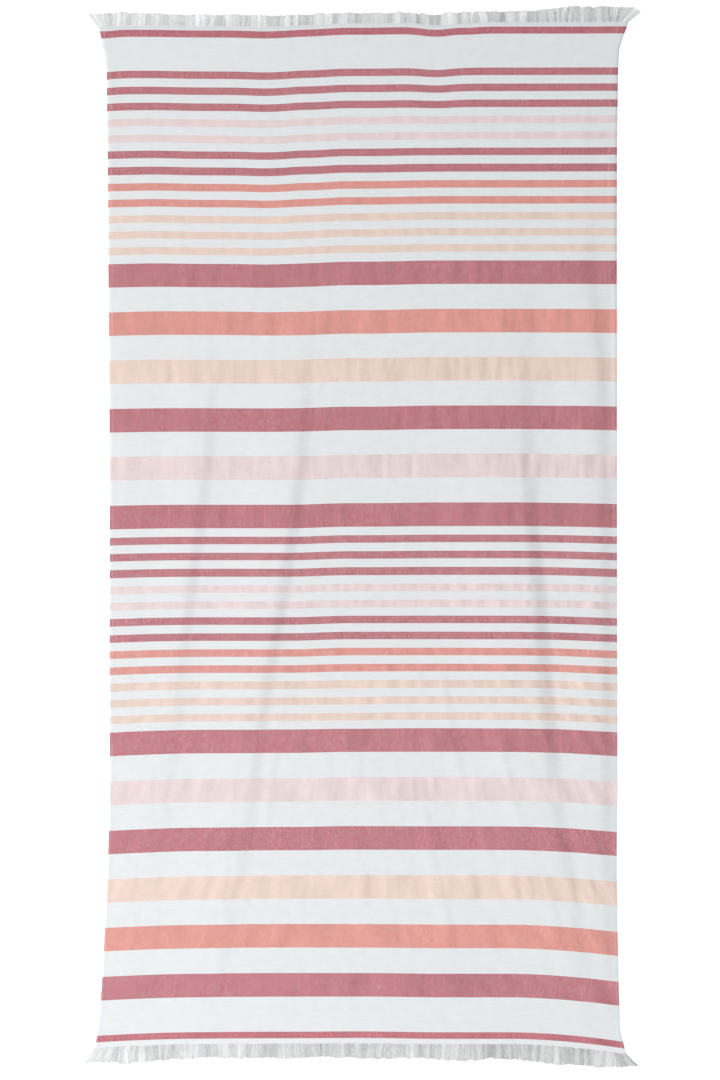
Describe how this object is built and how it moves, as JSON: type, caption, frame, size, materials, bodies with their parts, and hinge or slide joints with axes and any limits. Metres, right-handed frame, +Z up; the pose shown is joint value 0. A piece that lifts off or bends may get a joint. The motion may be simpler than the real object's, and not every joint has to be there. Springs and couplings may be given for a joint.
{
  "type": "hammam towel",
  "caption": "Flat-woven striped cotton towel with narrow side hems and a short fringe at both ends, laid out flat with a few soft folds.",
  "frame": {"origin": "middle of the base of the towel's box, on the surface it lies on", "axes": "+X to the towel's right, +Y along the towel to its top fringe, +Z up off the surface"},
  "size_m": [0.9406, 1.806, 0.0083],
  "materials": {
    "cloth": "flat-woven cotton with woven-in stripes of rose, coral, peach and pale pink on white, matt",
    "fringe": "loose white cotton warp ends, matt"
  },
  "bodies": {
    "root": {"cloth": "cloth", "fringe_top": "fringe", "fringe_bottom": "fringe"}
  },
  "joints": []
}
